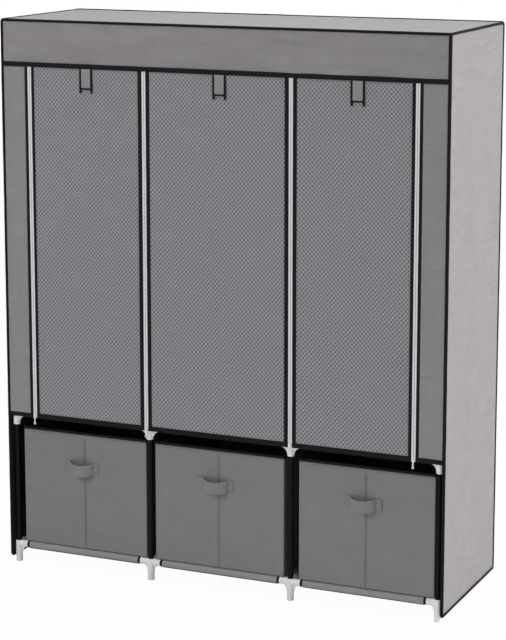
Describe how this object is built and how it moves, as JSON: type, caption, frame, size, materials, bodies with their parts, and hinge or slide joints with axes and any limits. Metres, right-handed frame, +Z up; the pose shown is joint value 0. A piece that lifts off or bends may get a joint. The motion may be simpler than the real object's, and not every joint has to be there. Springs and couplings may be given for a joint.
{
  "type": "fabric wardrobe",
  "caption": "Wide free-standing fabric wardrobe on a tube frame, with zipped roll-up doors under a valance and cloth boxes on a low shelf",
  "frame": {"origin": "on the floor, under the middle of the cover", "axes": "+Z up, the doors face -Y, +X to the right as one looks at the doors"},
  "size_m": [1.25, 0.4414, 1.4917],
  "materials": {
    "white_plastic": "moulded plastic, slightly glossy",
    "black_tube": "black powder coat",
    "grey_cloth": "plain non-woven cloth",
    "door_cloth": "non-woven cloth with rows of pressed dots",
    "dark_cloth": "plain non-woven cloth",
    "black_binding": "woven tape",
    "zip_metal": "painted zip slider",
    "board": "grey board"
  },
  "bodies": {
    "frame_and_cover": {"base_front_frame": "white_plastic", "base_back_frame": "white_plastic", "mid_front_frame": "white_plastic", "mid_back_frame": "white_plastic", "top_front_frame": "white_plastic", "top_back_frame": "white_plastic", "lower_upright_front_1": "black_tube", "lower_upright_front_2": "black_tube", "lower_upright_front_3": "black_tube", "lower_upright_front_4": "black_tube", "lower_upright_back_1": "black_tube", "lower_upright_back_2": "black_tube", "lower_upright_back_3": "black_tube", "lower_upright_back_4": "black_tube", "hanging_rail_left": "black_tube", "hanging_rail_middle": "black_tube", "hanging_rail_right": "black_tube", "base_shelf_left": "dark_cloth", "base_shelf_middle": "dark_cloth", "base_shelf_right": "dark_cloth", "mid_shelf_left": "dark_cloth", "mid_shelf_middle": "dark_cloth", "mid_shelf_right": "dark_cloth", "cover_top": "grey_cloth", "cover_left_side": "grey_cloth", "cover_right_side": "grey_cloth", "cover_back": "grey_cloth", "cover_valance": "grey_cloth", "cover_left_strip": "grey_cloth", "cover_right_strip": "grey_cloth", "cover_piping": "black_binding"},
    "door_left": {"door_left_cloth": "door_cloth", "door_left_hem": "black_binding"},
    "door_middle": {"door_middle_cloth": "door_cloth", "door_middle_hem": "black_binding"},
    "door_right": {"door_right_cloth": "door_cloth", "door_right_hem": "black_binding"},
    "slider_1": {"zip_slider_1": "zip_metal"},
    "pull_1": {"zip_pull_1": "zip_metal"},
    "slider_2": {"zip_slider_2": "zip_metal"},
    "pull_2": {"zip_pull_2": "zip_metal"},
    "slider_3": {"zip_slider_3": "zip_metal"},
    "pull_3": {"zip_pull_3": "zip_metal"},
    "slider_4": {"zip_slider_4": "zip_metal"},
    "pull_4": {"zip_pull_4": "zip_metal"},
    "strap_left": {"tie_strap_left": "grey_cloth"},
    "strap_middle": {"tie_strap_middle": "grey_cloth"},
    "strap_right": {"tie_strap_right": "grey_cloth"},
    "box_left": {"box_left_body": "dark_cloth", "box_left_rim": "black_binding", "box_left_handle": "dark_cloth", "box_left_board": "board"},
    "box_middle": {"box_middle_body": "dark_cloth", "box_middle_rim": "black_binding", "box_middle_handle": "dark_cloth", "box_middle_board": "board"},
    "box_right": {"box_right_body": "dark_cloth", "box_right_rim": "black_binding", "box_right_handle": "dark_cloth", "box_right_board": "board"}
  },
  "joints": [
    {"name": "door_left_roll", "type": "slide", "parent": "frame_and_cover", "child": "door_left", "axis": [0, 0, 1], "range_m": [0, 0.9], "deforming": ["door_left_cloth"]},
    {"name": "door_middle_roll", "type": "slide", "parent": "frame_and_cover", "child": "door_middle", "axis": [0, 0, 1], "range_m": [0, 0.9], "deforming": ["door_middle_cloth"]},
    {"name": "door_right_roll", "type": "slide", "parent": "frame_and_cover", "child": "door_right", "axis": [0, 0, 1], "range_m": [0, 0.9], "deforming": ["door_right_cloth"]},
    {"name": "zip_1_run", "type": "slide", "parent": "frame_and_cover", "child": "slider_1", "axis": [0, 0, 1], "range_m": [0, 0.9]},
    {"name": "pull_1_swing", "type": "hinge", "parent": "slider_1", "child": "pull_1", "pos_m": [-0.542, -0.2165, 0.421], "axis": [-1, 0, 0], "range_deg": [0, 150]},
    {"name": "zip_2_run", "type": "slide", "parent": "frame_and_cover", "child": "slider_2", "axis": [0, 0, 1], "range_m": [0, 0.9]},
    {"name": "pull_2_swing", "type": "hinge", "parent": "slider_2", "child": "pull_2", "pos_m": [-0.206, -0.2165, 0.421], "axis": [-1, 0, 0], "range_deg": [0, 150]},
    {"name": "zip_3_run", "type": "slide", "parent": "frame_and_cover", "child": "slider_3", "axis": [0, 0, 1], "range_m": [0, 0.9]},
    {"name": "pull_3_swing", "type": "hinge", "parent": "slider_3", "child": "pull_3", "pos_m": [0.206, -0.2165, 0.421], "axis": [-1, 0, 0], "range_deg": [0, 150]},
    {"name": "zip_4_run", "type": "slide", "parent": "frame_and_cover", "child": "slider_4", "axis": [0, 0, 1], "range_m": [0, 0.9]},
    {"name": "pull_4_swing", "type": "hinge", "parent": "slider_4", "child": "pull_4", "pos_m": [0.542, -0.2165, 0.421], "axis": [-1, 0, 0], "range_deg": [0, 150]},
    {"name": "strap_left_swing", "type": "hinge", "parent": "frame_and_cover", "child": "strap_left", "pos_m": [-0.373, -0.2151, 1.3673], "axis": [-1, 0, 0], "range_deg": [0, 100]},
    {"name": "strap_middle_swing", "type": "hinge", "parent": "frame_and_cover", "child": "strap_middle", "pos_m": [0.009, -0.2151, 1.3673], "axis": [-1, 0, 0], "range_deg": [0, 100]},
    {"name": "strap_right_swing", "type": "hinge", "parent": "frame_and_cover", "child": "strap_right", "pos_m": [0.385, -0.2151, 1.3673], "axis": [-1, 0, 0], "range_deg": [0, 100]},
    {"name": "box_left_pull_out", "type": "slide", "parent": "frame_and_cover", "child": "box_left", "axis": [0, -1, 0], "range_m": [0, 0.3]},
    {"name": "box_middle_pull_out", "type": "slide", "parent": "frame_and_cover", "child": "box_middle", "axis": [0, -1, 0], "range_m": [0, 0.3]},
    {"name": "box_right_pull_out", "type": "slide", "parent": "frame_and_cover", "child": "box_right", "axis": [0, -1, 0], "range_m": [0, 0.3]}
  ]
}
